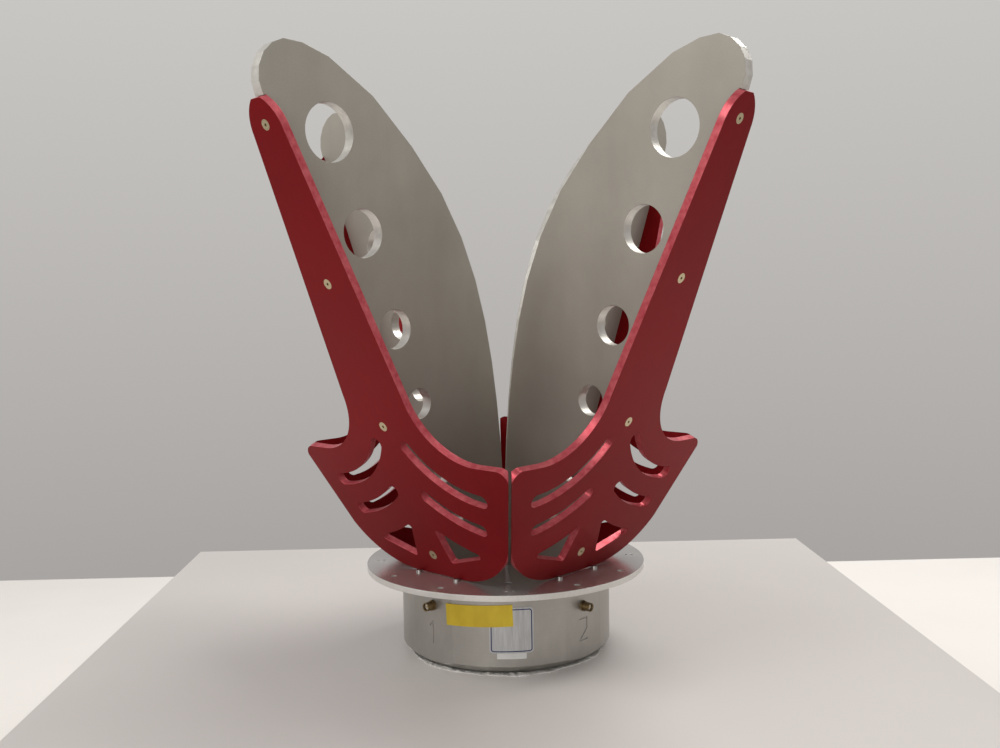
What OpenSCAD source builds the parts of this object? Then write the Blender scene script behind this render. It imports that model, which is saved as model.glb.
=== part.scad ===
// Open-boundary quad-ridged horn antenna: four flared ridges on a round base,
// each backed by a slotted side plate that leans outward.
// Millimetres, +Z up along the horn's axis, origin under the middle of the base.

/* [Ridges] */
// Thickness of each ridge plate
ridge_t = 10; // [7:0.5:14]
// Height of the ridge tips above the flange
ridge_h = 434; // [424:1:450]
// Radius of the rounded tip
nose_r = 30; // [26:0.5:34]
// Distance by which the rounded tip stands out beyond the back edge's line
nose_out = 2.2; // [0.5:0.1:4]
// Distance of the nose's middle above the end of the seat for the side plate
nose_seat = 2.4; // [0:0.1:6]
// Gap between the end of that seat and the plate
seat_gap = 0.5; // [0.2:0.1:2]
// Angle from the top of the nose's circle to the nose's first corner
nose_from = 14; // [8:1:20]
// Distances of the crown's corners from the middle of the nose, inward
crown_in = [76.7, 34.2, 9.7];
// Drops of the same corners below the top of the tip
crown_drop = [32, 7.5, 0.5];
// Distance from the axis at which the flare's curve would start
flare_start = 3.12; // [2.8:0.02:3.3]
// Height in which the flare opens by a factor e
flare_len = 103; // [99:1:107]
// Height of each straight facet of the flare
facet_h = 36.6; // [20:0.2:60]
// Clearance left between the inner corners of neighbouring ridges at the throat
throat_clear = 1.6; // [1:0.1:3]
// Distance of the ridge's back edge from the axis, at the flange
back_r = 75; // [72:0.5:76]
// Lean of the ridge's back edge, outward from the vertical
lean = 24.1; // [23:0.1:25]
// Diameters of the lightening holes, from the foot to the tip
hole_d = [14, 20, 26, 33, 39, 46];
// Places of the lightening holes up the back edge, in spacings of the plate screws
hole_at = [0.3, 0.67, 1.19, 1.72, 2.37, 3.01];
// Web between the lightening holes and the back edge
hole_web = 20.3; // [18:0.1:23]

/* [Ridge roots] */
// Radial width of the root that reaches down into the can
root_w = 17.5; // [14:0.5:20]
// Depth of the root below the top of the flange
root_depth = 46; // [42:1:52]
// Distance of the two foot screws from the axis
foot_screw_at = [37, 62];
// Depth of the foot screws in the ridge
foot_screw_in = 14; // [8:1:18]

/* [Side plates] */
// Thickness of each side plate
plate_t = 6.4; // [5:0.1:8]
// Gap under the plate's foot
plate_lift = 0.5; // [0.3:0.1:2]
// Gap from each plate's mitred edge to the diagonal plane
mitre_gap = 1.7; // [1.2:0.1:3]
// Length of the wide lower part, up the slope
plate_body = 119; // [115:0.5:124]
// Radius of the rounded lower corners
plate_low_r = 82; // [74:1:88]
// Radius of the rounded upper corners
plate_high_r = 10; // [6:0.5:16]
// Radius of the scoops between the wide part and the arm
scoop_r = 57.5; // [52:0.5:62]
// Half width of the arm where the scoops end
arm_low = 37.5; // [35:0.5:40]
// Half width of the arm where its pointed end begins
arm_high = 19; // [16:0.5:21]
// Radius of the two curves of the pointed end
arch_r = 32; // [29:0.5:40]
// Start of the pointed end, below the top screw
arch_below = 6; // [4:0.5:9]
// End of the arm, above the top screw
arch_above = 20; // [16:0.5:22]
// Mean radii of the two curved slots about the middle of the scoop
slot_r = [89.3, 119.7];
// Widths of the two curved slots
slot_w = [12, 11];
// Where each slot starts, in degrees about the middle of the scoop
slot_from = [211.5, 231.5];
// Where each slot ends, in degrees about the middle of the scoop
slot_to = [265, 260.5];
// Radius of the upper edge of the three-cornered window
window_r = 148.3; // [140:0.1:156]
// Height of the window's lowest corner, up the slope
window_foot = 16.5; // [12:0.5:22]
// Width of the rib left between the two windows
window_rib = 30; // [26:0.5:36]
// Reach of the window's outer corner from the middle of the plate
window_reach = 61; // [54:0.5:66]
// Slant of the window's inner edge, away from the rib
window_slant = 6; // [0:0.5:10]
// Radius of the window's corners
window_corner = 3; // [1.5:0.5:4]

/* [Plate screws] */
// Height of the lowest screw, up the slope
plate_screw_first = 20.8; // [18:0.1:24]
// Number of screws in each plate
plate_screw_count = 4; // [2:1:4]
// Diameter of the screw shank
plate_screw_d = 4; // [3:0.1:5]
// Diameter of the countersunk head
plate_screw_head = 8.5; // [7.5:0.1:10]
// Length of the screw in the ridge
plate_screw_in = 10; // [6:0.5:14]

/* [Flange] */
// Diameter of the flange
flange_d = 254; // [246:1:270]
// Thickness of the flange
flange_t = 5; // [4:0.5:8]
// Diameter of the opening that the ridge roots pass through
throat_d = 54; // [52:0.5:58]
// Diameter of the circle of mounting holes
mount_circle = 229; // [222:0.5:234]
// Diameter of the mounting holes
mount_hole = 5.5; // [4:0.1:7]
// Angle of the mounting holes to each side of a ridge
mount_angle = 15; // [12:0.5:25]
// Diameter of the small paired holes
pair_hole = 2.5; // [1.5:0.1:3]
// Spacing of the paired holes
pair_gap = 5.6; // [4:0.1:8]
// Tapping diameter of the four stand holes
stand_hole = 6.8; // [5:0.1:8]
// Depth of the stand holes
stand_depth = 20; // [10:1:30]
// Angle of the flange screws to each side of a ridge
flange_screw_angle = 15.4; // [12:0.1:20]
// Diameter of the flange screws
flange_screw_d = 3; // [2.5:0.1:4]
// Length of the flange screws in the can
flange_screw_in = 10; // [6:0.5:16]

/* [Can] */
// Diameter of the can under the flange
can_d = 190.4; // [186:0.2:196]
// Height of the can
can_h = 71; // [68:0.5:78]
// Thickness of the can's wall
can_wall = 12; // [10:0.5:13]
// Size of the chamfer around the can's foot
can_chamfer = 5.5; // [2:0.5:7]
// Depth of the two connector flats in the can's round side
flat_cut = 3; // [2:0.1:5]
// Width of the ledge that the bottom cover is screwed to
ledge_w = 9; // [8:0.5:12]
// Height of that ledge above the cover
ledge_h = 5; // [3:0.5:8]
// Thickness of the bottom cover
cover_t = 4; // [3:0.5:6]
// Number of screws in the bottom cover
cover_screws = 8; // [4:1:12]
// Clearance around the bottom cover
cover_clear = 0.3; // [0.1:0.1:0.8]
// Thickness of the foil pad under the can
pad_t = 2; // [1:0.5:4]
// Mean width by which the pad's edge shows around the can's foot
pad_out = 5; // [2:0.5:8]
// Size of the ripples along the pad's edge
pad_ripple = 4; // [0:0.5:5]
// Depth of the engraved port numbers
mark_depth = 0.6; // [0.3:0.1:1]
// Height of the engraved port numbers
mark_h = 19; // [12:0.5:22]

/* [Connectors] */
// Depth of the first port's centre below the top of the flange
port_drop = 24.3; // [23:0.1:27]
// Step in height from the first port to the second
port_step = 3.6; // [3:0.1:5]
// Diameter of the threaded barrel
jack_d = 7.6; // [7:0.1:9]
// Length of the barrel in front of its collar
jack_len = 6.5; // [5:0.5:10]
// Size across the corners of the hexagonal collar against the flat
collar_d = 9.8; // [9.2:0.1:12]
// Thickness of the collar
collar_t = 2; // [1:0.1:3]
// Wall of the barrel
jack_wall = 0.9; // [0.7:0.1:1.1]
// Depth of the open socket in the barrel
socket_depth = 5; // [3:0.5:6]
// Outer diameter of the coaxial feed tube
feed_tube_d = 6.4; // [6:0.1:7]
// Outer diameter of the feed's insulator
feed_core_d = 4.2; // [3.6:0.1:4.8]
// Diameter of the feed pin
feed_pin_d = 1.5; // [1:0.1:1.8]
// Depth to which the pin enters the opposite ridge
feed_pin_in = 6; // [4:0.5:9]

/* [Labels] */
// Width of the identification plate
id_w = 37.5; // [32:0.5:42]
// Height of the identification plate
id_h = 39; // [34:0.5:44]
// Thickness of the identification plate
id_t = 0.5; // [0.3:0.1:1]
// Length of the adhesive tape
tape_w = 58.5; // [50:0.5:64]
// Height of the adhesive tape
tape_h = 18.5; // [14:0.5:24]
// Thickness of the adhesive tape
tape_t = 0.3; // [0.2:0.1:0.5]
// Tilt of the adhesive tape
tape_tilt = 2; // [0:0.5:4]
// Width of the small white sticker
sticker_w = 25; // [16:0.5:30]
// Height of the small white sticker
sticker_h = 5; // [3:0.5:7]

/* [Hidden] */

$fn = 96;
eps = 0.01;
blend = 0.05;
quarters = [0, 90, 180, 270];

// Heights of the stack
can_z = pad_t;
flange_z = can_z + can_h;
top_z = flange_z + flange_t;

// Can and cover
can_r = can_d / 2;
flat_at = can_r - flat_cut;
bore_r = can_r - can_wall;
ledge_r = bore_r - ledge_w;
cover_r = bore_r + 1;
wall_mid_r = can_r - can_wall / 2;
cover_screw_d = flange_screw_d;
cover_screw_r = (ledge_r + cover_r) / 2;

// Ridge outline: the flare, the crown above it and the nose at the tip
throat_r = ridge_t / 2 + throat_clear;
nose_z = ridge_h - nose_r * cos(nose_from);
nose_x = back_r + (nose_z * sin(lean) - nose_r + nose_out) / cos(lean);
flare_facets = floor((ridge_h - crown_drop[0]) / facet_h - 0.5);
nose_facets = 5;
root_r = throat_r + root_w;
nose_up = (nose_x - back_r) * sin(lean) + nose_z * cos(lean);
nose_to = 90 + lean + asin(nose_seat / nose_r);
seat_end = nose_up - nose_seat;

// Top of the side plate's arm and its screws, up the slope from its foot
plate_end = seat_end - seat_gap - plate_t * tan(lean) - plate_lift / cos(lean);
top_screw_y = plate_end - arch_above;
arch_y = top_screw_y - arch_below;
plate_screw_pitch = (top_screw_y - plate_screw_first) / (plate_screw_count - 1);

flare_points = [
    for (i = [0 : flare_facets])
        [max(throat_r, flare_start * exp(i * facet_h / flare_len)), i * facet_h]
];
crown_points = [
    for (i = [0 : len(crown_in) - 1])
        [nose_x - crown_in[i], ridge_h - crown_drop[i]]
];
nose_points = [
    for (i = [0 : nose_facets])
        let (a = nose_from + (nose_to - nose_from) * i / nose_facets)
            [nose_x + nose_r * sin(a), nose_z + nose_r * cos(a)]
];

// Side plate, measured up the slope from its foot and across from its middle
plate_foot_x = back_r + plate_t / cos(lean) + plate_lift * tan(lean);
scoop_x = arm_low + scoop_r;
scoop_y = plate_body + scoop_r;
mitre_over = 1;
function mitre_x(y) = plate_foot_x - mitre_gap + mitre_over + y * sin(lean);
plate_turn = atan(sin(lean));

// Screws through the flange
screw_head_d = 1.8 * flange_screw_d;
screw_head_h = 0.55 * flange_screw_d;
foot_screw_d = 5;
foot_head_d = 8.5;
foot_head_h = 5;

// Connectors and feeds
port_z = [top_z - port_drop, top_z - port_drop - port_step];
spigot_d = feed_tube_d + 2;
jack_front = flat_at + collar_t + jack_len;

// Places of the labels on the can, as a turn about the axis and a height
label_turn = -44;
id_z = top_z - 39;
tape_turn = -61;
tape_z = top_z - 27;
sticker_z = id_z - (id_h + sticker_h) / 2;
sticker_t = 0.2;

// Places its child once for each ridge
module at_ridges() {
    for (a = quarters)
        rotate([0, 0, a]) children();
}

// Pie slice of a ring, from one angle to another
module ring_sector(r, w, from, to) {
    reach = 2 * (r + w);
    difference() {
        circle(r = r + w / 2);
        circle(r = r - w / 2);
        polygon([
            [0, 0],
            for (a = [to, to + 40, to + 120, from + 200, from + 320, from + 360])
                reach * [cos(a), sin(a)]
        ]);
    }
}

module arc_slot(r, w, from, to) {
    ring_sector(r, w, from, to);
    for (a = [from, to])
        translate(r * [cos(a), sin(a)]) circle(r = w / 2 + blend, $fn = 48);
}

module base_pad() {
    mean_r = can_r - can_chamfer + pad_out;
    color("lightgray")
    linear_extrude(pad_t)
        polygon([
            for (a = [0 : 5 : 355])
                (mean_r + pad_ripple * (0.7 * cos(2 * (a + 48)) + 0.3 * sin(7 * a))) * [cos(a), sin(a)]
        ]);
}

// Countersunk screw, head up, with the top of its head at the origin
module flat_screw(d, head, length) {
    cone = (head - d) / 2;
    difference() {
        union() {
            translate([0, 0, -cone]) cylinder(h = cone, d1 = d, d2 = head);
            translate([0, 0, -length]) cylinder(h = length - cone / 2, d = d);
        }
        translate([0, 0, -cone * 0.7]) cylinder(h = cone, d = d * 0.6, $fn = 6);
    }
}

// The space that such a screw needs in what it clamps
module flat_screw_hole(d, head, length) {
    cone = (head - d) / 2;
    translate([0, 0, -cone]) cylinder(h = cone + eps, d1 = d, d2 = head + 2 * eps);
    translate([0, 0, -length]) cylinder(h = length, d = d);
}

module at_cover_screws() {
    for (i = [0 : cover_screws - 1])
        rotate([0, 0, (i + 0.5) * 360 / cover_screws])
            translate([cover_screw_r, 0, can_z]) rotate([180, 0, 0]) children();
}

module bottom_cover() {
    color("silver")
    difference() {
        translate([0, 0, can_z]) cylinder(h = cover_t, r = cover_r - cover_clear);
        at_cover_screws() flat_screw_hole(cover_screw_d, 2 * cover_screw_d, cover_t + 1);
    }
}

module cover_screws() {
    color("dimgray")
    at_cover_screws() flat_screw(cover_screw_d, 2 * cover_screw_d, cover_t + ledge_h - 1);
}

module at_ports() {
    rotate([0, 0, -90]) translate([0, 0, port_z[0]]) children();
    translate([0, 0, port_z[1]]) children();
}

// A straight milled stroke on the right-hand flat, between two points of that flat
module stroke(from, to) {
    w = 1.4;
    run = to - from;
    translate([flat_at - mark_depth, from[0], from[1]])
        rotate([atan2(run[1], run[0]), 0, 0])
            translate([0, 0, -w / 2]) cube([2 * mark_depth, norm(run), w]);
    for (p = [from, to])
        translate([flat_at - mark_depth, p[0], p[1]])
            rotate([0, 90, 0]) cylinder(h = 2 * mark_depth, d = w, $fn = 24);
}

// Port number one: a plain upright stroke with a flag
module mark_one() {
    stroke([0, 0], [0, mark_h]);
    stroke([0, mark_h], [-mark_h / 5, mark_h * 0.8]);
}

// Port number two, in straight strokes
module mark_two() {
    w = mark_h / 2;
    stroke([-w / 2, mark_h], [w / 2, mark_h]);
    stroke([w / 2, mark_h], [w / 2, mark_h / 2]);
    stroke([w / 2, mark_h / 2], [-w / 2, 0]);
    stroke([-w / 2, 0], [w / 2, 0]);
}

module can() {
    mark_z = port_z[1] - collar_d / 2 - 6 - mark_h;
    color("darkgray")
    difference() {
        union() {
            translate([0, 0, can_z])
                cylinder(h = can_chamfer, r1 = can_r - can_chamfer, r2 = can_r, $fn = 180);
            translate([0, 0, can_z + can_chamfer])
                cylinder(h = can_h - can_chamfer, r = can_r, $fn = 180);
        }
        translate([0, 0, can_z + cover_t + ledge_h]) cylinder(h = can_h, r = bore_r);
        translate([0, 0, can_z - 1]) cylinder(h = can_h, r = ledge_r);
        translate([0, 0, can_z - 1]) cylinder(h = cover_t + 1, r = cover_r);
        for (a = [-90, 0])
            rotate([0, 0, a]) translate([flat_at, -can_r, 0]) cube([can_r, can_d, top_z]);
        at_ports() rotate([0, 90, 0]) cylinder(h = can_d, d = spigot_d, $fn = 48);
        at_cover_screws() cylinder(h = 2 * (cover_t + ledge_h), d = cover_screw_d, center = true, $fn = 24);
        at_flange_screws() mirror([0, 0, 1]) cylinder(h = flange_t + flange_screw_in, d = flange_screw_d, $fn = 24);
        at_stand_holes() translate([0, 0, -stand_depth]) cylinder(h = stand_depth + 1, d = stand_hole, $fn = 32);
        rotate([0, 0, -90]) translate([0, 0, mark_z]) mark_one();
        translate([0, 0, mark_z]) mark_two();
    }
}

module at_flange_screws() {
    at_ridges()
        for (a = [-1, 1])
            rotate([0, 0, a * flange_screw_angle]) translate([wall_mid_r, 0, top_z]) children();
}

module at_stand_holes() {
    at_ridges()
        rotate([0, 0, 45]) translate([wall_mid_r, 0, top_z]) children();
}

module at_foot_screws() {
    at_ridges()
        for (x = foot_screw_at)
            translate([x, 0, flange_z]) children();
}

module flange() {
    color("gainsboro")
    difference() {
        translate([0, 0, flange_z]) cylinder(h = flange_t, d = flange_d, $fn = 240);
        translate([0, 0, flange_z - 1]) cylinder(h = flange_t + 2, d = throat_d);
        at_ridges() {
            for (a = [-1, 1])
                rotate([0, 0, a * mount_angle])
                    translate([mount_circle / 2, 0, flange_z - 1])
                        cylinder(h = flange_t + 2, d = mount_hole, $fn = 32);
        }
        for (a = quarters)
            translate(mount_circle / 2 * [cos(a + 45), sin(a + 45), 0])
                for (s = [-1, 1])
                    translate(s * pair_gap / 2 * [cos(45), sin(45), 0])
                        translate([0, 0, flange_z - 1]) cylinder(h = flange_t + 2, d = pair_hole, $fn = 24);
        at_flange_screws() cylinder(h = 3 * flange_t, d = flange_screw_d, center = true, $fn = 24);
        at_stand_holes() cylinder(h = 3 * flange_t, d = stand_hole, center = true, $fn = 32);
        at_foot_screws() cylinder(h = 3 * flange_t, d = foot_screw_d, center = true, $fn = 32);
    }
}

module flange_screws() {
    color("silver")
    at_flange_screws()
        difference() {
            union() {
                cylinder(h = screw_head_h, d = screw_head_d, $fn = 32);
                translate([0, 0, -flange_t - flange_screw_in])
                    cylinder(h = flange_t + flange_screw_in, d = flange_screw_d, $fn = 24);
            }
            translate([0, 0, screw_head_h / 3]) cylinder(h = screw_head_h, d = flange_screw_d * 0.7, $fn = 6);
        }
}

module ridge_foot_screws() {
    color("dimgray")
    at_foot_screws()
        difference() {
            union() {
                translate([0, 0, -foot_head_h]) cylinder(h = foot_head_h, d = foot_head_d, $fn = 32);
                cylinder(h = flange_t + foot_screw_in, d = foot_screw_d, $fn = 32);
            }
            translate([0, 0, -foot_head_h - 1]) cylinder(h = foot_head_h / 2 + 1, d = foot_screw_d * 0.8, $fn = 6);
        }
}

// Places its child at each screw of the right-hand side plate, head outward
module at_plate_screws() {
    for (i = [0 : plate_screw_count - 1])
        on_plate() translate([0, plate_screw_first + i * plate_screw_pitch, 0]) children();
}

// Lays the plane of a drawing on the outer face of the right-hand side plate
module on_plate() {
    translate([plate_foot_x, 0, top_z + plate_lift]) rotate([0, lean, 0]) rotate([90, 0, 90]) children();
}

// Outline of a ridge: x outward from the axis, y up from the flange
module ridge_outline() {
    difference() {
        polygon(concat(
            [[back_r, 0], [root_r, 0], [root_r, -root_depth], [throat_r, -root_depth]],
            flare_points, crown_points, nose_points,
            [[back_r + seat_end * sin(lean), seat_end * cos(lean)]]
        ));
        for (i = [0 : len(hole_d) - 1]) {
            off = hole_web + hole_d[i] / 2;
            up = hole_at[i] * plate_screw_pitch;
            translate([
                back_r + up * sin(lean) - off * cos(lean),
                up * cos(lean) + off * sin(lean)
            ]) circle(d = hole_d[i]);
        }
    }
}

module ridge(turn, bores) {
    color("tan")
    rotate([0, 0, turn])
        difference() {
            translate([0, ridge_t / 2, top_z])
                rotate([90, 0, 0]) linear_extrude(ridge_t) ridge_outline();
            at_plate_screws()
                translate([0, 0, -plate_t - plate_screw_in])
                    cylinder(h = plate_screw_in + plate_t, d = plate_screw_d, $fn = 32);
            for (x = foot_screw_at)
                translate([x, 0, flange_z]) cylinder(h = flange_t + foot_screw_in, d = foot_screw_d, $fn = 32);
            for (b = bores)
                translate([0, 0, b[0]]) rotate([0, 90, 0]) cylinder(h = can_r, d = b[1], $fn = 32);
        }
}

// Outline of a side plate: x across from its middle, y up the slope from its foot
module plate_outline() {
    low_x = mitre_x(plate_low_r * (1 - sin(plate_turn))) - plate_low_r * cos(plate_turn);
    low_y = plate_low_r * (1 - sin(plate_turn));
    high_x = mitre_x(plate_body) - plate_high_r * (1 + sin(plate_turn)) / cos(plate_turn);
    difference() {
        union() {
            for (s = [0, 1])
                mirror([s, 0]) {
                    polygon([
                        [0, 0], [low_x, 0], [mitre_x(low_y), low_y],
                        [high_x + plate_high_r * cos(plate_turn), plate_body - plate_high_r * (1 + sin(plate_turn))],
                        [high_x, plate_body], [0, plate_body]
                    ]);
                    intersection() {
                        translate([low_x, plate_low_r]) circle(r = plate_low_r, $fn = 240);
                        polygon([[low_x, 0], [mitre_x(low_y), 0], [mitre_x(low_y), low_y]]);
                    }
                    translate([high_x, plate_body - plate_high_r]) circle(r = plate_high_r);
                    difference() {
                        translate([0, plate_body - 1]) square([scoop_x, scoop_r + 1]);
                        translate([scoop_x, scoop_y]) circle(r = scoop_r, $fn = 180);
                    }
                }
            polygon([
                [-arm_low, scoop_y], [arm_low, scoop_y], [arm_high, arch_y], [-arm_high, arch_y]
            ]);
            intersection() {
                translate([arch_r - arm_high, arch_y]) circle(r = arch_r);
                translate([arm_high - arch_r, arch_y]) circle(r = arch_r);
                translate([-arm_high, arch_y]) square([2 * arm_high, plate_end - arch_y]);
            }
        }
        for (s = [0, 1])
            mirror([s, 0]) {
                for (i = [0, 1])
                    translate([scoop_x, scoop_y])
                        arc_slot(slot_r[i], slot_w[i], slot_from[i], slot_to[i], $fn = 180);
                window_outline();
            }
    }
}

// Convex outline around three equal circles, given anticlockwise
module rounded_triangle(corners, r) {
    for (c = corners)
        translate(c) circle(r = r + blend, $fn = 32);
    polygon([
        for (i = [0 : 2])
            let (
                side = corners[(i + 1) % 3] - corners[i],
                out = [side[1], -side[0]] * r / norm(side)
            )
                each [corners[i] + out, corners[(i + 1) % 3] + out]
    ]);
}

// Three-cornered window: its upper edge follows the slots above it
module window_outline() {
    inner_x = window_rib / 2 + window_corner;
    outer_x = window_reach - window_corner;
    corner_r = window_r + window_corner;
    function under_arc(x) = scoop_y - sqrt(corner_r * corner_r - pow(scoop_x - x, 2));
    difference() {
        rounded_triangle([
            [inner_x, under_arc(inner_x)],
            [inner_x + window_slant, window_foot + window_corner],
            [outer_x, under_arc(outer_x)]
        ], window_corner);
        translate([scoop_x, scoop_y]) circle(r = window_r, $fn = 240);
    }
}

module side_plate(turn) {
    far = ridge_h + can_d;
    color("firebrick")
    rotate([0, 0, turn])
        difference() {
            intersection() {
                on_plate() translate([0, 0, -plate_t]) linear_extrude(plate_t) plate_outline();
                linear_extrude(far + top_z)
                    polygon([[mitre_gap, 0], [far, mitre_gap - far], [far, far - mitre_gap]]);
            }
            at_plate_screws() flat_screw_hole(plate_screw_d, plate_screw_head, plate_t + 1);
        }
}

module plate_screws(turn) {
    color("goldenrod")
    rotate([0, 0, turn])
        at_plate_screws() flat_screw(plate_screw_d, plate_screw_head, plate_t + plate_screw_in);
}

module along_port(port) {
    rotate([0, 0, port == 0 ? -90 : 0]) translate([0, 0, port_z[port]]) rotate([0, 90, 0]) children();
}

module jack_body(port) {
    color("darkgoldenrod")
    along_port(port)
        difference() {
            union() {
                translate([0, 0, bore_r]) cylinder(h = flat_at - bore_r, d = spigot_d, $fn = 48);
                translate([0, 0, flat_at]) cylinder(h = collar_t, d = collar_d, $fn = 6);
                translate([0, 0, flat_at]) cylinder(h = collar_t + jack_len, d = jack_d, $fn = 48);
            }
            translate([0, 0, bore_r - 1]) cylinder(h = can_r, d = feed_core_d, $fn = 32);
            translate([0, 0, jack_front - socket_depth])
                cylinder(h = socket_depth + 1, d = jack_d - 2 * jack_wall, $fn = 48);
        }
}

module jack_insulator(port) {
    color("ivory")
    along_port(port)
        difference() {
            translate([0, 0, jack_front - socket_depth])
                cylinder(h = socket_depth * 0.6, d = feed_core_d + 1, $fn = 32);
            translate([0, 0, bore_r]) cylinder(h = can_r, d = feed_pin_d, $fn = 24);
        }
}

module feed_tube(port) {
    color("orange")
    along_port(port)
        difference() {
            translate([0, 0, root_r]) cylinder(h = bore_r - root_r, d = feed_tube_d, $fn = 32);
            translate([0, 0, root_r - 1]) cylinder(h = bore_r, d = feed_core_d, $fn = 32);
        }
}

module feed_core(port) {
    color("white")
    along_port(port)
        difference() {
            translate([0, 0, throat_r])
                cylinder(h = jack_front - socket_depth - throat_r, d = feed_core_d, $fn = 32);
            translate([0, 0, 0]) cylinder(h = can_d, d = feed_pin_d, $fn = 24);
        }
}

module feed_pin(port) {
    tail = throat_r + feed_pin_in;
    color("gold")
    along_port(port)
        translate([0, 0, -tail]) cylinder(h = tail + jack_front - socket_depth * 0.3, d = feed_pin_d, $fn = 24);
}

// Thin skin on the can's round front, behind a flat outline of width w and height h
module label_skin(turn, z, w, h, inner, outer, corner, tilt = 0) {
    intersection() {
        difference() {
            cylinder(h = top_z, r = can_r + outer, $fn = 180);
            cylinder(h = top_z, r = can_r + inner, $fn = 180);
        }
        rotate([0, 0, turn]) translate([0, 0, z]) rotate([tilt, 0, 0]) rotate([90, 0, 90])
            linear_extrude(can_d)
                union() {
                    square([w - 2 * corner, h], center = true);
                    square([w, h - 2 * corner], center = true);
                    for (x = [-1, 1], y = [-1, 1])
                        translate([x * (w / 2 - corner), y * (h / 2 - corner)]) circle(r = corner, $fn = 32);
                }
    }
}

module id_plate() {
    color("slategray")
    label_skin(label_turn, id_z, id_w, id_h, 0, id_t, 3);
}

module yellow_tape() {
    color("gold")
    difference() {
        label_skin(tape_turn, tape_z, tape_w, tape_h, 0, id_t + tape_t, 0.3, tape_tilt);
        label_skin(label_turn, id_z, id_w, id_h, -1, id_t, 3);
    }
}

module white_sticker() {
    color("white")
    label_skin(label_turn, sticker_z, sticker_w, sticker_h, 0, sticker_t, 0.5);
}

base_pad();
bottom_cover();
cover_screws();
can();
flange();
flange_screws();
ridge(0, [[port_z[1], feed_core_d]]);  // ridge_right
ridge(90, [[port_z[0], feed_pin_d]]);  // ridge_back
ridge(180, [[port_z[1], feed_pin_d]]);  // ridge_left
ridge(270, [[port_z[0], feed_core_d]]);  // ridge_front
side_plate(0);  // side_plate_right
side_plate(90);  // side_plate_back
side_plate(180);  // side_plate_left
side_plate(270);  // side_plate_front
plate_screws(0);  // plate_screws_right
plate_screws(90);  // plate_screws_back
plate_screws(180);  // plate_screws_left
plate_screws(270);  // plate_screws_front
ridge_foot_screws();
jack_body(0);  // jack_body_one
jack_insulator(0);  // jack_insulator_one
feed_tube(0);  // feed_tube_one
feed_core(0);  // feed_core_one
feed_pin(0);  // feed_pin_one
jack_body(1);  // jack_body_two
jack_insulator(1);  // jack_insulator_two
feed_tube(1);  // feed_tube_two
feed_core(1);  // feed_core_two
feed_pin(1);  // feed_pin_two
id_plate();
yellow_tape();
white_sticker();
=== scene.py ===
from math import atan2, cos, pi, radians, sin

import bpy
import bmesh
from mathutils import Matrix, Vector, noise


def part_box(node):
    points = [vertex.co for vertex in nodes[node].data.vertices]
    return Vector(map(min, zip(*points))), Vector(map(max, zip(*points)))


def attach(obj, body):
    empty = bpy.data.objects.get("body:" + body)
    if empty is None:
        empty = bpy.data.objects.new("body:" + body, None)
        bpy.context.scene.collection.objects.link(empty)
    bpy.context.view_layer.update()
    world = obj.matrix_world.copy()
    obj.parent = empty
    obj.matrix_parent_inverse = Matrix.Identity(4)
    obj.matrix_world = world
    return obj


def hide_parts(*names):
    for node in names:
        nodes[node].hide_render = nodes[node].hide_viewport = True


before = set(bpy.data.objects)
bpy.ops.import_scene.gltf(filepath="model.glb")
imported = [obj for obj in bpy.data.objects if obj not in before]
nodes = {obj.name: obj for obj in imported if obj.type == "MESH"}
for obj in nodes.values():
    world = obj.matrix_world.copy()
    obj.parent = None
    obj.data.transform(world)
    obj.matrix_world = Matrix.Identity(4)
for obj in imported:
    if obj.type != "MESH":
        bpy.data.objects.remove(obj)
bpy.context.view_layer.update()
scene = bpy.context.scene
scene.view_settings.view_transform = "Standard"


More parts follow.
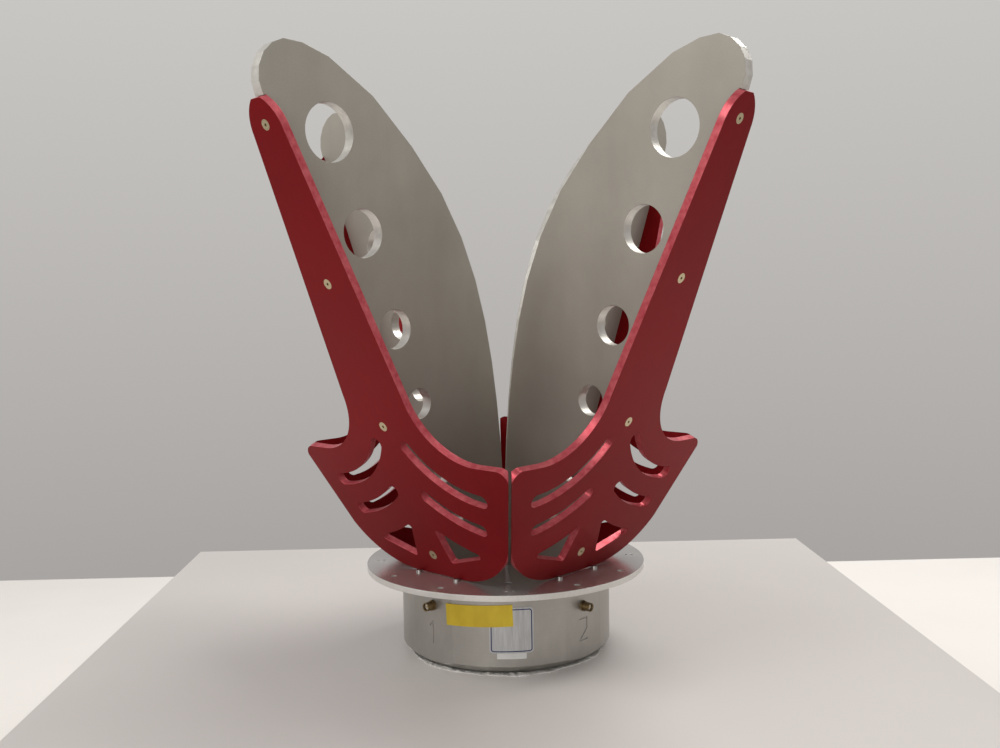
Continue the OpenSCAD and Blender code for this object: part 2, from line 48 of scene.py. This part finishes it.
# ---------------------------------------------------------------- node helpers
class Graph:
    """Short names for building a material's nodes."""

    def __init__(self, name):
        self.material = bpy.data.materials.new(name)
        self.material.use_nodes = True
        self.tree = self.material.node_tree
        self.shader = self.tree.nodes["Principled BSDF"]

    def add(self, kind, **values):
        node = self.tree.nodes.new(kind)
        for key, value in values.items():
            setattr(node, key, value)
        return node

    def put(self, socket, value):
        if isinstance(value, bpy.types.NodeSocket):
            self.tree.links.new(value, socket)
        elif hasattr(socket.default_value, "__len__") and len(socket.default_value) == 4 and len(value) == 3:
            socket.default_value = (*value, 1)
        else:
            socket.default_value = value

    def math(self, operation, a, b=0.0, c=0.0, clamp=False):
        node = self.add("ShaderNodeMath", operation=operation, use_clamp=clamp)
        for socket, value in zip(node.inputs, (a, b, c)):
            self.put(socket, value)
        return node.outputs[0]

    def mix(self, factor, a, b):
        node = self.add("ShaderNodeMix", data_type="RGBA")
        self.put(node.inputs["Factor"], factor)
        self.put(node.inputs[6], a)
        self.put(node.inputs[7], b)
        return node.outputs[2]

    def place(self, stretch=(1, 1, 1)):
        node = self.add("ShaderNodeMapping")
        self.put(node.inputs["Vector"], self.add("ShaderNodeTexCoord").outputs["Object"])
        self.put(node.inputs["Scale"], stretch)
        return node.outputs[0]

    def noise(self, scale, stretch=(1, 1, 1), detail=4.0, roughness=0.55):
        node = self.add("ShaderNodeTexNoise")
        self.put(node.inputs["Vector"], self.place(stretch))
        self.put(node.inputs["Scale"], scale)
        self.put(node.inputs["Detail"], detail)
        self.put(node.inputs["Roughness"], roughness)
        return node.outputs[0]

    def spread(self, value, low, high):
        """Maps the middle of a noise's range onto low to high."""
        node = self.add("ShaderNodeMapRange")
        for socket, number in zip(node.inputs, (value, 0.3, 0.7, low, high)):
            self.put(socket, number)
        return node.outputs[0]

    def facing(self, axis, limit=0.9):
        """One where the true surface looks along axis, either way, and nought elsewhere."""
        node = self.add("ShaderNodeVectorMath", operation="DOT_PRODUCT")
        self.put(node.inputs[0], self.add("ShaderNodeNewGeometry").outputs["True Normal"])
        self.put(node.inputs[1], axis)
        return self.math("GREATER_THAN", self.math("ABSOLUTE", node.outputs["Value"]), limit)

    def relief(self, height, strength, distance, soften=0.0):
        bump = self.add("ShaderNodeBump")
        self.put(bump.inputs["Height"], height)
        self.put(bump.inputs["Strength"], strength)
        self.put(bump.inputs["Distance"], distance)
        if soften:
            bevel = self.add("ShaderNodeBevel", samples=4)
            self.put(bevel.inputs["Radius"], soften)
            self.put(bump.inputs["Normal"], bevel.outputs[0])
        self.put(self.shader.inputs["Normal"], bump.outputs[0])

    def finish(self, color, metallic, roughness, **more):
        self.put(self.shader.inputs["Base Color"], color)
        self.put(self.shader.inputs["Metallic"], metallic)
        self.put(self.shader.inputs["Roughness"], roughness)
        for key, value in more.items():
            self.put(self.shader.inputs[key.replace("_", " ")], value)
        return self.material


def shade(factor, color):
    return tuple(factor * c for c in color)


def metal(name, color, roughness, soften=0.0003, stretch=(1, 1, 1)):
    """Bare metal with faint blotches, a fine grain and softened edges."""
    vary = 0.12
    g = Graph(name)
    blotch = g.noise(60)
    fine = g.noise(1500, stretch, detail=2.0)
    tint = g.mix(g.spread(blotch, 0, 1), shade(1 - vary, color), shade(1 + vary / 2, color))
    tint = g.mix(g.spread(fine, 0, 0.5), tint, shade(1 - 2 * vary, color))
    g.relief(fine, 0.15, 0.0001, soften)
    return g.finish(tint, 1.0, g.spread(blotch, roughness - 0.06, roughness + 0.06))


def plastic(name, color, roughness):
    """Matt plastic or paper with faint mottling and a fine grain."""
    vary = 0.06
    g = Graph(name)
    fine = g.noise(900)
    tint = g.mix(g.spread(g.noise(90), 0, 1), shade(1 - vary, color), shade(1 + vary, color))
    g.relief(fine, 0.1, 0.0001)
    return g.finish(tint, 0.0, roughness)


# ---------------------------------------------------------------- materials
def ridge_material(name, across):
    """Bead-blasted warm grey sides with a fine speckle; the milled edges and hole walls are brighter."""
    g = Graph(name)
    side = g.facing(across)
    cloud = g.noise(7, detail=5.0, roughness=0.6)
    streak = g.noise(16, (1, 1, 0.35), detail=6.0)
    speck = g.noise(1400, detail=1.0)
    blasted = g.mix(g.spread(cloud, 0, 1), (0.40, 0.375, 0.325), (0.52, 0.49, 0.43))
    blasted = g.mix(g.spread(streak, 0, 0.45), blasted, (0.33, 0.295, 0.255))
    blasted = g.mix(g.spread(speck, 0, 0.30), blasted, (0.24, 0.225, 0.195))
    milled = g.mix(g.spread(g.noise(120), 0, 1), (0.58, 0.56, 0.51), (0.76, 0.74, 0.69))
    g.relief(speck, 0.25, 0.00012, 0.0005)
    rough = g.math("ADD", g.math("MULTIPLY", side, 0.24), g.spread(cloud, 0.26, 0.36))
    return g.finish(g.mix(side, milled, blasted), 0.55, rough, Specular_IOR_Level=0.35)


def plate_material(name, face):
    """Deep red anodised sheet: matt faces, and edge faces painted paler and pinker as a painted highlight."""
    g = Graph(name)
    flat = g.facing(face, 0.97)
    cloud = g.noise(9, detail=4.0)
    grain = g.noise(1800, detail=1.0)
    brushed = g.noise(240, (1, 1, 0.08), detail=3.0)
    deep = g.mix(g.spread(cloud, 0, 1), (0.185, 0.001, 0.003), (0.225, 0.002, 0.005))
    deep = g.mix(g.spread(brushed, 0, 0.25), deep, (0.15, 0.001, 0.003))
    # Painted highlight: the edge faces get a paler, pinker colour than the flat faces.
    edge_highlight = g.mix(g.spread(g.noise(200), 0, 1), (0.48, 0.06, 0.08), (0.66, 0.15, 0.17))
    g.relief(grain, 0.12, 0.0001, 0.0006)
    rough = g.math("ADD", g.math("MULTIPLY", flat, 0.10), g.spread(cloud, 0.30, 0.36))
    return g.finish(g.mix(flat, edge_highlight, deep), 0.45, rough, Specular_IOR_Level=0.12)


def can_material(name):
    """Light grey turned metal: fine level lines, and soft scuffs."""
    g = Graph(name)
    lines = g.noise(60, (0.05, 0.05, 40), detail=3.0)
    scuff = g.noise(26, (1, 1, 0.5), detail=7.0, roughness=0.7)
    tint = g.mix(g.spread(scuff, 0, 1), (0.39, 0.375, 0.345), (0.51, 0.49, 0.455))
    tint = g.mix(g.spread(lines, 0, 0.25), tint, (0.36, 0.35, 0.33))
    g.relief(lines, 0.06, 0.0001, 0.0005)
    return g.finish(tint, 0.85, g.spread(scuff, 0.34, 0.46))


def flange_material(name):
    """Smooth bright plate that mirrors what stands on it; its rim shows fine turning lines."""
    g = Graph(name)
    top = g.facing((0, 0, 1))
    scuff = g.noise(18, detail=6.0, roughness=0.65)
    fine = g.noise(420, detail=2.0)
    tint = g.mix(g.spread(scuff, 0, 1), (0.66, 0.64, 0.61), (0.80, 0.785, 0.76))
    tint = g.mix(g.spread(fine, 0, 0.3), tint, (0.56, 0.545, 0.52))
    g.relief(fine, 0.04, 0.0001, 0.0005)
    rough = g.math("SUBTRACT", g.spread(scuff, 0.27, 0.36), g.math("MULTIPLY", top, 0.08))
    return g.finish(tint, 0.8, rough)


def thread_material(name, color, axis, pitch):
    """Dark gold barrel whose thread is rings of relief along its axis."""
    g = Graph(name)
    split = g.add("ShaderNodeSeparateXYZ")
    g.put(split.inputs[0], g.place())
    turn = g.math("SINE", g.math("MULTIPLY", split.outputs[axis], 2 * pi / pitch))
    tint = g.mix(g.spread(g.noise(300), 0, 1), shade(0.7, color), shade(1.2, color))
    # Painted shade: the colour darkens in the thread grooves, following the same rings as the relief.
    tint = g.mix(g.math("MULTIPLY_ADD", turn, -0.35, 0.35), tint, shade(0.25, color))
    g.relief(turn, 0.6, 0.00015)
    return g.finish(tint, 0.9, g.spread(g.noise(150), 0.28, 0.42))


def id_plate_material(name, obj, low, high):
    """Bare satin silver with a dark blue line a little inside its edge."""
    g = Graph(name)
    points = [v.co for v in obj.data.vertices]
    middle = sum(points, Vector()) / len(points)
    turn = atan2(middle.y, middle.x)
    radius = max(p.xy.length for p in points)
    half_w = max(abs(p.x * sin(turn) - p.y * cos(turn)) for p in points)
    split = g.add("ShaderNodeSeparateXYZ")
    g.put(split.inputs[0], g.place())
    x, y, z = split.outputs
    across = g.math("SUBTRACT", g.math("MULTIPLY", x, sin(turn)), g.math("MULTIPLY", y, cos(turn)))
    u = g.math("ABSOLUTE", across)
    v = g.math("ABSOLUTE", g.math("SUBTRACT", z, (low.z + high.z) / 2))
    corner = 0.002
    du = g.math("MAXIMUM", g.math("SUBTRACT", u, half_w - 0.0016 - corner), 0)
    dv = g.math("MAXIMUM", g.math("SUBTRACT", v, (high.z - low.z) / 2 - 0.0016 - corner), 0)
    away = g.math("SQRT", g.math("ADD", g.math("MULTIPLY", du, du), g.math("MULTIPLY", dv, dv)))
    line = g.math("LESS_THAN", g.math("ABSOLUTE", g.math("SUBTRACT", away, corner)), 0.00045)
    silver = g.mix(g.spread(g.noise(500, (1, 1, 0.1)), 0, 1), (0.46, 0.465, 0.47), (0.60, 0.605, 0.61))
    g.relief(g.noise(900), 0.06, 0.0001)
    return g.finish(g.mix(line, silver, (0.015, 0.025, 0.11)), 0.5, 0.38)


def foil_material(name):
    g = Graph(name)
    cell = g.add("ShaderNodeTexVoronoi", feature="F1")
    g.put(cell.inputs["Vector"], g.place((1, 1, 1.5)))
    g.put(cell.inputs["Scale"], 260)
    creases = g.noise(180, detail=5.0)
    height = g.math("ADD", cell.outputs[0], creases)
    tint = g.mix(g.spread(creases, 0, 1), (0.74, 0.72, 0.69), (0.90, 0.89, 0.87))
    g.relief(height, 0.35, 0.0004)
    return g.finish(tint, 0.6, g.spread(creases, 0.28, 0.42))


def tape_material(name):
    g = Graph(name)
    wrinkle = g.noise(70, (1, 1, 0.5), detail=4.0)
    tint = g.mix(g.spread(wrinkle, 0, 1), (0.66, 0.46, 0.016), (0.78, 0.57, 0.03))
    g.relief(g.math("ADD", wrinkle, g.math("MULTIPLY", g.noise(900), 0.3)), 0.25, 0.0004)
    return g.finish(tint, 0.0, 0.42)


def cover(node, material):
    """Gives a CAD node its material on all its slots."""
    obj = nodes[node]
    obj.data.materials.clear()
    obj.data.materials.append(material)


def smooth(node, limit=30, facet_area=None):
    """Smooth shading up to a limit; two big neighbouring faces stay facets if facet_area is given."""
    me = nodes[node].data
    bm = bmesh.new()
    bm.from_mesh(me)
    bm.edges.ensure_lookup_table()
    sharp = []
    for e in bm.edges:
        turn = e.calc_face_angle(pi) if len(e.link_faces) == 2 else pi
        smallest = min(f.calc_area() for f in e.link_faces)
        facets = facet_area is not None and turn > radians(3) and smallest > facet_area
        sharp.append(turn > radians(limit) or facets)
    bm.free()
    me.polygons.foreach_set("use_smooth", [True] * len(me.polygons))
    attribute = me.attributes.get("sharp_edge") or me.attributes.new("sharp_edge", "BOOLEAN", "EDGE")
    attribute.data.foreach_set("value", sharp)
    me.update()


lean = radians(24.1)
sides = {"right": (0, 1), "back": (1, 0), "left": (0, 1), "front": (1, 0)}
for side, (x, y) in sides.items():
    cover(f"ridge_{side}", ridge_material(f"ridge_{side}_finish", (x, y, 0)))
    smooth(f"ridge_{side}", 30, 45e-6)
    slope = -1 if side in ("right", "back") else 1
    face = (y * cos(lean), x * cos(lean), slope * sin(lean))
    cover(f"side_plate_{side}", plate_material(f"side_plate_{side}_finish", face))
    smooth(f"side_plate_{side}")
    cover(f"plate_screws_{side}", metal(f"plate_screw_{side}_finish", (0.55, 0.46, 0.30), 0.32, soften=0.0001))
    smooth(f"plate_screws_{side}")

cover("can", can_material("can_finish"))
cover("flange", flange_material("flange_finish"))
cover("bottom_cover", metal("bottom_cover_finish", (0.50, 0.50, 0.49), 0.36, stretch=(1, 0.05, 1)))
cover("cover_screws", metal("cover_screw_finish", (0.10, 0.10, 0.11), 0.40))
cover("flange_screws", metal("flange_screw_finish", (0.52, 0.51, 0.49), 0.30, soften=0.0002))
cover("ridge_foot_screws", metal("foot_screw_finish", (0.12, 0.12, 0.12), 0.42))
thread_pitch = 0.00071
for port, axis in (("one", 1), ("two", 0)):
    jack_finish = thread_material(f"jack_body_{port}_finish", (0.30, 0.21, 0.10), axis, thread_pitch)
    cover(f"jack_body_{port}", jack_finish)
    cover(f"jack_insulator_{port}", plastic(f"jack_insulator_{port}_finish", (0.72, 0.70, 0.64), 0.40))
    cover(f"feed_tube_{port}", metal(f"feed_tube_{port}_finish", (0.62, 0.36, 0.20), 0.34))
    cover(f"feed_core_{port}", plastic(f"feed_core_{port}_finish", (0.78, 0.77, 0.73), 0.42))
    cover(f"feed_pin_{port}", metal(f"feed_pin_{port}_finish", (0.70, 0.50, 0.20), 0.26))
cover("id_plate", id_plate_material("id_plate_finish", nodes["id_plate"], *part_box("id_plate")))
cover("yellow_tape", tape_material("yellow_tape_finish"))
cover("white_sticker", plastic("white_sticker_finish", (0.70, 0.70, 0.68), 0.45))
for node in nodes:
    if not node.startswith(("ridge_", "side_plate", "plate_screws")) or node == "ridge_foot_screws":
        smooth(node)


# ---------------------------------------------------------------- crumpled foil under the can
def crumpled_foil(name, low, high, outline, inner):
    """Closed sheet between two heights: its edge follows outline, and its top is creased."""
    bm = bmesh.new()
    steps, rings = 360, 12
    top, bottom = [], []
    for i in range(rings + 1):
        share = i / rings
        row, under = [], []
        for j in range(steps):
            a = 2 * pi * j / steps
            edge = outline(a)
            ragged = 0.0016 * (noise.noise(Vector((9 * cos(a), 9 * sin(a), 3.0))) - 0.5)
            ragged += 0.0010 * (noise.noise(Vector((40 * cos(a), 40 * sin(a), 7.0))) - 0.5)
            r = inner + (edge + ragged - inner) * share
            p = Vector((r * cos(a), r * sin(a), 0))
            crease = noise.turbulence(p * 150, 3, True)
            thin = high - low
            if share > 0.2:
                thin = 0.0003 + (high - low - 0.0003) * min(1.0, max(0.0, crease))
            row.append(bm.verts.new((p.x, p.y, low + thin)))
            under.append(bm.verts.new((p.x, p.y, low)))
        top.append(row)
        bottom.append(under)
    for i in range(rings):
        for j in range(steps):
            k = (j + 1) % steps
            bm.faces.new((top[i][j], top[i + 1][j], top[i + 1][k], top[i][k]))
            bm.faces.new((bottom[i][j], bottom[i][k], bottom[i + 1][k], bottom[i + 1][j]))
    for j in range(steps):
        k = (j + 1) % steps
        bm.faces.new((top[rings][j], bottom[rings][j], bottom[rings][k], top[rings][k]))
        bm.faces.new((top[0][j], top[0][k], bottom[0][k], bottom[0][j]))
    bmesh.ops.recalc_face_normals(bm, faces=bm.faces)
    me = bpy.data.meshes.new(name)
    bm.to_mesh(me)
    bm.free()
    obj = bpy.data.objects.new(name, me)
    scene.collection.objects.link(obj)
    return obj


pad = nodes["base_pad"]
pad_low, pad_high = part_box("base_pad")
rim = sorted((atan2(v.co.y, v.co.x), v.co.xy.length) for v in pad.data.vertices)


def pad_edge(angle):
    """The CAD pad's radius at an angle, straight between its corners."""
    angle = (angle + pi) % (2 * pi) - pi
    before = max((p for p in rim if p[0] <= angle), default=(rim[-1][0] - 2 * pi, rim[-1][1]))
    after = min((p for p in rim if p[0] > angle), default=(rim[0][0] + 2 * pi, rim[0][1]))
    share = (angle - before[0]) / max(after[0] - before[0], 1e-9)
    return before[1] + (after[1] - before[1]) * share - 0.0004


foil = crumpled_foil("foil_pad", pad_low.z, pad_high.z, pad_edge, 0.060)
foil.data.materials.append(foil_material("foil_finish"))
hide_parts("base_pad")
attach(foil, "root")


# ---------------------------------------------------------------- stage
turn = Matrix.Rotation(radians(45), 4, "Z")


def slab(name, low, high, material):
    bm = bmesh.new()
    bmesh.ops.create_cube(bm, size=1)
    for v in bm.verts:
        v.co = Vector((low[i] + (high[i] - low[i]) * (v.co[i] + 0.5) for i in range(3)))
    me = bpy.data.meshes.new(name)
    bm.to_mesh(me)
    bm.free()
    obj = bpy.data.objects.new(name, me)
    obj.matrix_world = turn
    obj.data.materials.append(material)
    scene.collection.objects.link(obj)
    return obj


def floor_material(name, color, roughness):
    g = Graph(name)
    tint = g.mix(g.spread(g.noise(4), 0, 1), shade(0.98, color), shade(1.02, color))
    g.relief(g.noise(700), 0.05, 0.0002)
    return g.finish(tint, 0.0, roughness)


table_finish = floor_material("table_finish", (0.62, 0.585, 0.56), 0.42)
slab("table_top", (-0.379, -1.7, -0.03), (0.385, 0.377, 0), table_finish)
floor_finish = floor_material("floor_finish", (0.90, 0.86, 0.82), 0.6)
slab("floor", (-3, -3, -0.16), (3, 0.75, -0.129), floor_finish)

world = bpy.data.worlds.new("studio")
world.use_nodes = True
scene.world = world
tree = world.node_tree
back = tree.nodes["Background"]
out = tree.nodes["World Output"]
back.inputs["Color"].default_value = (0.86, 0.85, 0.84, 1)
back.inputs["Strength"].default_value = 0.50
# Painted shade: camera and transmission rays see a backdrop that darkens towards the bottom; other rays see
# the even world colour.
direction = tree.nodes.new("ShaderNodeTexCoord").outputs["Generated"]
split = tree.nodes.new("ShaderNodeSeparateXYZ")
tree.links.new(direction, split.inputs[0])
wall_shade_ramp = tree.nodes.new("ShaderNodeValToRGB")
wall_shade_ramp.color_ramp.elements[0].position = 0.0
wall_shade_ramp.color_ramp.elements[0].color = (0.385, 0.365, 0.352, 1)
wall_shade_ramp.color_ramp.elements[1].position = 1.0
wall_shade_ramp.color_ramp.elements[1].color = (0.60, 0.588, 0.568, 1)
level = tree.nodes.new("ShaderNodeMapRange")
level.inputs["From Min"].default_value = -0.25
level.inputs["From Max"].default_value = 0.30
tree.links.new(split.outputs[2], level.inputs["Value"])
tree.links.new(level.outputs[0], wall_shade_ramp.inputs["Fac"])
wall = tree.nodes.new("ShaderNodeBackground")
tree.links.new(wall_shade_ramp.outputs[0], wall.inputs["Color"])
seen = tree.nodes.new("ShaderNodeLightPath")
either = tree.nodes.new("ShaderNodeMath")
either.operation = "MAXIMUM"
tree.links.new(seen.outputs["Is Camera Ray"], either.inputs[0])
tree.links.new(seen.outputs["Is Transmission Ray"], either.inputs[1])
mixed = tree.nodes.new("ShaderNodeMixShader")
tree.links.new(either.outputs[0], mixed.inputs[0])
tree.links.new(back.outputs[0], mixed.inputs[1])
tree.links.new(wall.outputs[0], mixed.inputs[2])
tree.links.new(mixed.outputs[0], out.inputs["Surface"])


def lamp(name, place, target, size, power, color=(1, 1, 1)):
    light = bpy.data.lights.new(name, "AREA")
    light.shape = "RECTANGLE"
    light.size, light.size_y = size
    light.energy = power
    light.color = color
    obj = bpy.data.objects.new(name, light)
    spot = turn @ Vector(place)
    obj.location = spot
    obj.rotation_euler = (turn @ Vector(target) - spot).to_track_quat("-Z", "Y").to_euler()
    scene.collection.objects.link(obj)


lamp("ceiling_right", (0.75, 0.55, 1.6), (0.2, 0.1, 0), (1.2, 0.9), 21, (1, 0.985, 0.96))
lamp("ceiling_left", (-1.2, -0.5, 1.5), (0, 0, 0.25), (1.2, 0.9), 12, (1, 0.99, 0.98))
lamp("front_fill", (-0.6, -1.9, 0.5), (0, 0, 0.12), (1.4, 0.8), 6, (1, 0.97, 0.94))

# ---------------------------------------------------------------- camera
a, t, roll = 0.0230, 0.0748, -0.0173
ahead = Vector((sin(a) * cos(t), cos(a) * cos(t), -sin(t)))
side = Vector((cos(a), -sin(a), 0))
above = side.cross(ahead)
right = cos(roll) * side + sin(roll) * above
up = -sin(roll) * side + cos(roll) * above
camera = bpy.data.objects.new("camera", bpy.data.cameras.new("camera"))
camera.data.lens = 38.45
camera.data.sensor_width = 36
camera.data.clip_start = 0.01
place = Matrix((right, up, -ahead)).transposed().to_4x4()
place.translation = Vector((-0.02449, -0.97398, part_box("flange")[1].z + 0.24338))
camera.matrix_world = turn @ place
scene.collection.objects.link(camera)
scene.camera = camera
